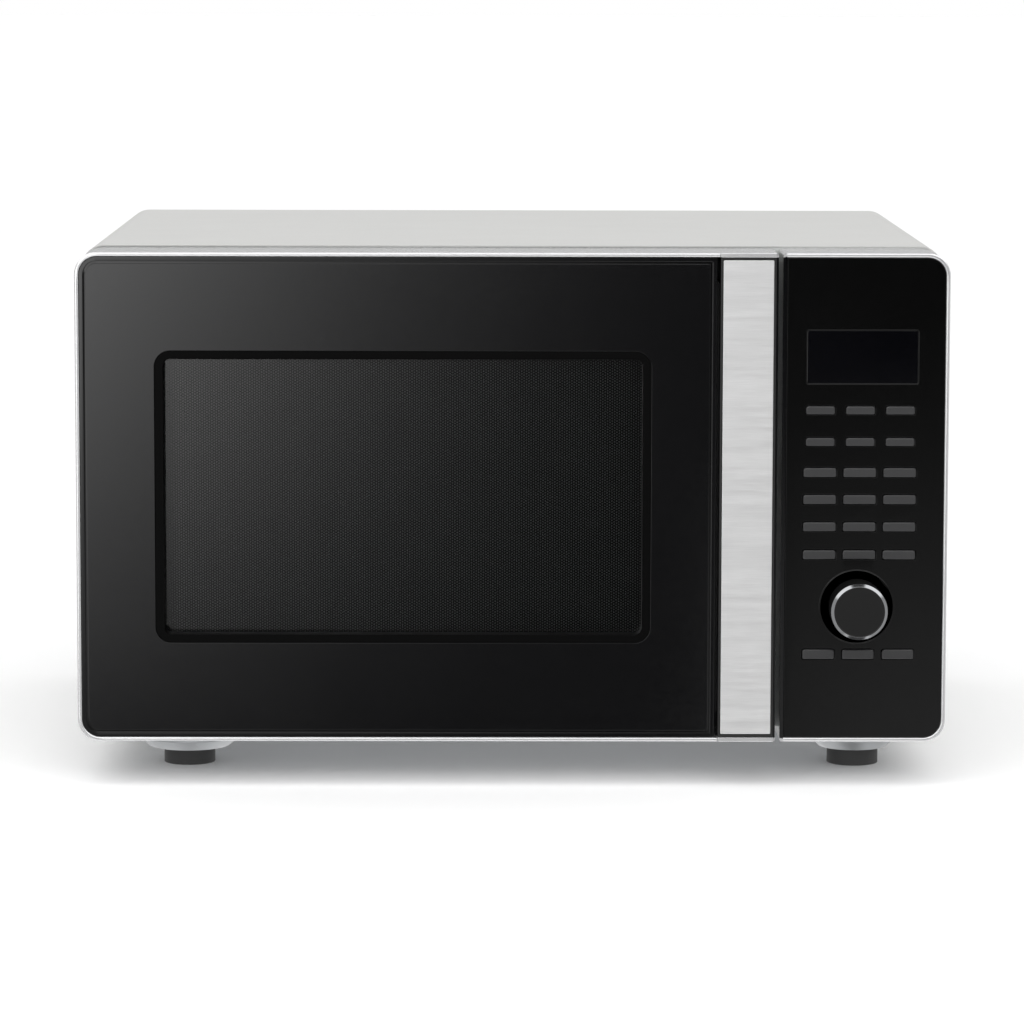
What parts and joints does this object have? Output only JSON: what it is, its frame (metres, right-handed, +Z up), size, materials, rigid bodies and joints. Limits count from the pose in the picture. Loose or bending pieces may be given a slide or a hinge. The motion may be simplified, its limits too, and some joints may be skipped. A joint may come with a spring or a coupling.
{
  "type": "microwave oven",
  "caption": "Countertop microwave oven: side-hinged door with a perforated window, full-height steel handle, keypad and dial, and a glass turntable on a roller ring.",
  "frame": {"origin": "on the surface the oven stands on, under the middle of its box", "axes": "+X to the right seen from the front, +Y from the door to the back, +Z up"},
  "size_m": [0.485, 0.427, 0.3005],
  "materials": {
    "cabinet_steel": "satin silver-grey enamel",
    "frame_silver": "silver lacquered moulding",
    "zinc_steel": "plain zinc-coated sheet",
    "cavity_enamel": "smooth light grey enamel",
    "black_gloss": "polished black",
    "black_plastic": "fine satin black",
    "key_grey": "satin dark grey",
    "knob_black": "satin black with a polished edge",
    "handle_steel": "fine brushing across the strip",
    "screen_steel": "perforated sheet, dark enamel",
    "window_clear": "clear pane",
    "tray_glass": "clear pressed glass",
    "lens_dark": "dark tinted lens",
    "mica": "pressed mica sheet",
    "white_plastic": "plain white moulding",
    "roller_plastic": "plain moulding",
    "board": "circuit board",
    "core_steel": "varnished laminations and windings",
    "aluminium_can": "plain can",
    "switch_red": "plain moulding",
    "rubber_black": "matt black rubber",
    "screw_steel": "plated"
  },
  "bodies": {
    "cabinet": {"outer_cabinet": "cabinet_steel", "base_plate": "zinc_steel", "rear_panel": "zinc_steel", "cavity_shell": "cavity_enamel", "waveguide_cover": "mica", "panel_housing": "frame_silver", "panel_fascia": "black_gloss", "display_lens": "lens_dark", "control_board": "board", "hinge_brackets": "zinc_steel", "turntable_motor": "zinc_steel", "magnetron": "aluminium_can", "transformer": "core_steel", "capacitor": "aluminium_can", "fan_motor": "zinc_steel", "cavity_lamp": "white_plastic", "interlock_switches": "switch_red", "cord_gland": "black_plastic", "feet": "rubber_black", "cabinet_screws": "screw_steel"},
    "door": {"door_shell": "frame_silver", "door_panel": "black_gloss", "window_bezel": "black_gloss", "window_glass": "window_clear", "shield_screen": "screen_steel", "door_choke": "zinc_steel", "choke_cover": "black_plastic", "handle_body": "black_plastic", "handle_plate": "handle_steel", "handle_caps": "frame_silver"},
    "latch": {"door_latch": "white_plastic"},
    "dial": {"dial_knob": "knob_black"},
    "turntable": {"glass_tray": "tray_glass", "drive_coupler": "roller_plastic"},
    "ring": {"roller_ring": "roller_plastic"},
    "wheel_a": {"roller_a": "roller_plastic"},
    "wheel_b": {"roller_b": "roller_plastic"},
    "wheel_c": {"roller_c": "roller_plastic"},
    "fan": {"fan_blade": "white_plastic"},
    "key_row1_left": {"key_row1_left": "key_grey"},
    "key_row1_middle": {"key_row1_middle": "key_grey"},
    "key_row1_right": {"key_row1_right": "key_grey"},
    "key_row2_left": {"key_row2_left": "key_grey"},
    "key_row2_middle": {"key_row2_middle": "key_grey"},
    "key_row2_right": {"key_row2_right": "key_grey"},
    "key_row3_left": {"key_row3_left": "key_grey"},
    "key_row3_middle": {"key_row3_middle": "key_grey"},
    "key_row3_right": {"key_row3_right": "key_grey"},
    "key_row4_left": {"key_row4_left": "key_grey"},
    "key_row4_middle": {"key_row4_middle": "key_grey"},
    "key_row4_right": {"key_row4_right": "key_grey"},
    "key_row5_left": {"key_row5_left": "key_grey"},
    "key_row5_middle": {"key_row5_middle": "key_grey"},
    "key_row5_right": {"key_row5_right": "key_grey"},
    "key_row6_left": {"key_row6_left": "key_grey"},
    "key_row6_middle": {"key_row6_middle": "key_grey"},
    "key_row6_right": {"key_row6_right": "key_grey"},
    "key_row7_left": {"key_row7_left": "key_grey"},
    "key_row7_middle": {"key_row7_middle": "key_grey"},
    "key_row7_right": {"key_row7_right": "key_grey"}
  },
  "joints": [
    {"name": "door_hinge", "type": "hinge", "parent": "cabinet", "child": "door", "pos_m": [-0.2335, -0.158, 0.16255], "axis": [0, 0, -1], "range_deg": [0, 95]},
    {"name": "latch_slide", "type": "slide", "parent": "door", "child": "latch", "axis": [0, 0, 1], "range_m": [0, 0.004], "stiffness_N_per_m": 400, "springref_m": -0.003},
    {"name": "dial_turn", "type": "hinge", "parent": "cabinet", "child": "dial", "pos_m": [0.19225, -0.1915, 0.1021], "axis": [0, -1, 0], "continuous": true},
    {"name": "turntable_turn", "type": "hinge", "parent": "cabinet", "child": "turntable", "pos_m": [-0.052, 0.024, 0.0523], "axis": [0, 0, 1], "continuous": true},
    {"name": "ring_turn", "type": "hinge", "parent": "cabinet", "child": "ring", "pos_m": [-0.052, 0.024, 0.05985], "axis": [0, 0, 1], "continuous": true},
    {"name": "wheel_a_roll", "type": "hinge", "parent": "ring", "child": "wheel_a", "pos_m": [0.038, 0.024, 0.05985], "axis": [1, 0, 0], "continuous": true},
    {"name": "wheel_b_roll", "type": "hinge", "parent": "ring", "child": "wheel_b", "pos_m": [-0.097, 0.10194, 0.05985], "axis": [-0.5, 0.866, 0], "continuous": true},
    {"name": "wheel_c_roll", "type": "hinge", "parent": "ring", "child": "wheel_c", "pos_m": [-0.097, -0.05394, 0.05985], "axis": [-0.5, -0.866, 0], "continuous": true},
    {"name": "fan_turn", "type": "hinge", "parent": "cabinet", "child": "fan", "pos_m": [0.1717, 0.1761, 0.1873], "axis": [0, 1, 0], "continuous": true},
    {"name": "press_row1_left", "type": "slide", "parent": "cabinet", "child": "key_row1_left", "axis": [0, 1, 0], "range_m": [0, 0.0008], "stiffness_N_per_m": 600, "springref_m": -0.0008},
    {"name": "press_row1_middle", "type": "slide", "parent": "cabinet", "child": "key_row1_middle", "axis": [0, 1, 0], "range_m": [0, 0.0008], "stiffness_N_per_m": 600, "springref_m": -0.0008},
    {"name": "press_row1_right", "type": "slide", "parent": "cabinet", "child": "key_row1_right", "axis": [0, 1, 0], "range_m": [0, 0.0008], "stiffness_N_per_m": 600, "springref_m": -0.0008},
    {"name": "press_row2_left", "type": "slide", "parent": "cabinet", "child": "key_row2_left", "axis": [0, 1, 0], "range_m": [0, 0.0008], "stiffness_N_per_m": 600, "springref_m": -0.0008},
    {"name": "press_row2_middle", "type": "slide", "parent": "cabinet", "child": "key_row2_middle", "axis": [0, 1, 0], "range_m": [0, 0.0008], "stiffness_N_per_m": 600, "springref_m": -0.0008},
    {"name": "press_row2_right", "type": "slide", "parent": "cabinet", "child": "key_row2_right", "axis": [0, 1, 0], "range_m": [0, 0.0008], "stiffness_N_per_m": 600, "springref_m": -0.0008},
    {"name": "press_row3_left", "type": "slide", "parent": "cabinet", "child": "key_row3_left", "axis": [0, 1, 0], "range_m": [0, 0.0008], "stiffness_N_per_m": 600, "springref_m": -0.0008},
    {"name": "press_row3_middle", "type": "slide", "parent": "cabinet", "child": "key_row3_middle", "axis": [0, 1, 0], "range_m": [0, 0.0008], "stiffness_N_per_m": 600, "springref_m": -0.0008},
    {"name": "press_row3_right", "type": "slide", "parent": "cabinet", "child": "key_row3_right", "axis": [0, 1, 0], "range_m": [0, 0.0008], "stiffness_N_per_m": 600, "springref_m": -0.0008},
    {"name": "press_row4_left", "type": "slide", "parent": "cabinet", "child": "key_row4_left", "axis": [0, 1, 0], "range_m": [0, 0.0008], "stiffness_N_per_m": 600, "springref_m": -0.0008},
    {"name": "press_row4_middle", "type": "slide", "parent": "cabinet", "child": "key_row4_middle", "axis": [0, 1, 0], "range_m": [0, 0.0008], "stiffness_N_per_m": 600, "springref_m": -0.0008},
    {"name": "press_row4_right", "type": "slide", "parent": "cabinet", "child": "key_row4_right", "axis": [0, 1, 0], "range_m": [0, 0.0008], "stiffness_N_per_m": 600, "springref_m": -0.0008},
    {"name": "press_row5_left", "type": "slide", "parent": "cabinet", "child": "key_row5_left", "axis": [0, 1, 0], "range_m": [0, 0.0008], "stiffness_N_per_m": 600, "springref_m": -0.0008},
    {"name": "press_row5_middle", "type": "slide", "parent": "cabinet", "child": "key_row5_middle", "axis": [0, 1, 0], "range_m": [0, 0.0008], "stiffness_N_per_m": 600, "springref_m": -0.0008},
    {"name": "press_row5_right", "type": "slide", "parent": "cabinet", "child": "key_row5_right", "axis": [0, 1, 0], "range_m": [0, 0.0008], "stiffness_N_per_m": 600, "springref_m": -0.0008},
    {"name": "press_row6_left", "type": "slide", "parent": "cabinet", "child": "key_row6_left", "axis": [0, 1, 0], "range_m": [0, 0.0008], "stiffness_N_per_m": 600, "springref_m": -0.0008},
    {"name": "press_row6_middle", "type": "slide", "parent": "cabinet", "child": "key_row6_middle", "axis": [0, 1, 0], "range_m": [0, 0.0008], "stiffness_N_per_m": 600, "springref_m": -0.0008},
    {"name": "press_row6_right", "type": "slide", "parent": "cabinet", "child": "key_row6_right", "axis": [0, 1, 0], "range_m": [0, 0.0008], "stiffness_N_per_m": 600, "springref_m": -0.0008},
    {"name": "press_row7_left", "type": "slide", "parent": "cabinet", "child": "key_row7_left", "axis": [0, 1, 0], "range_m": [0, 0.0008], "stiffness_N_per_m": 600, "springref_m": -0.0008},
    {"name": "press_row7_middle", "type": "slide", "parent": "cabinet", "child": "key_row7_middle", "axis": [0, 1, 0], "range_m": [0, 0.0008], "stiffness_N_per_m": 600, "springref_m": -0.0008},
    {"name": "press_row7_right", "type": "slide", "parent": "cabinet", "child": "key_row7_right", "axis": [0, 1, 0], "range_m": [0, 0.0008], "stiffness_N_per_m": 600, "springref_m": -0.0008}
  ],
  "couplings": [
    {"joint": "ring_turn", "follows": "turntable_turn", "ratio": 0.5},
    {"joint": "wheel_a_roll", "follows": "turntable_turn", "ratio": -6.2069},
    {"joint": "wheel_b_roll", "follows": "turntable_turn", "ratio": -6.2069},
    {"joint": "wheel_c_roll", "follows": "turntable_turn", "ratio": -6.2069}
  ]
}
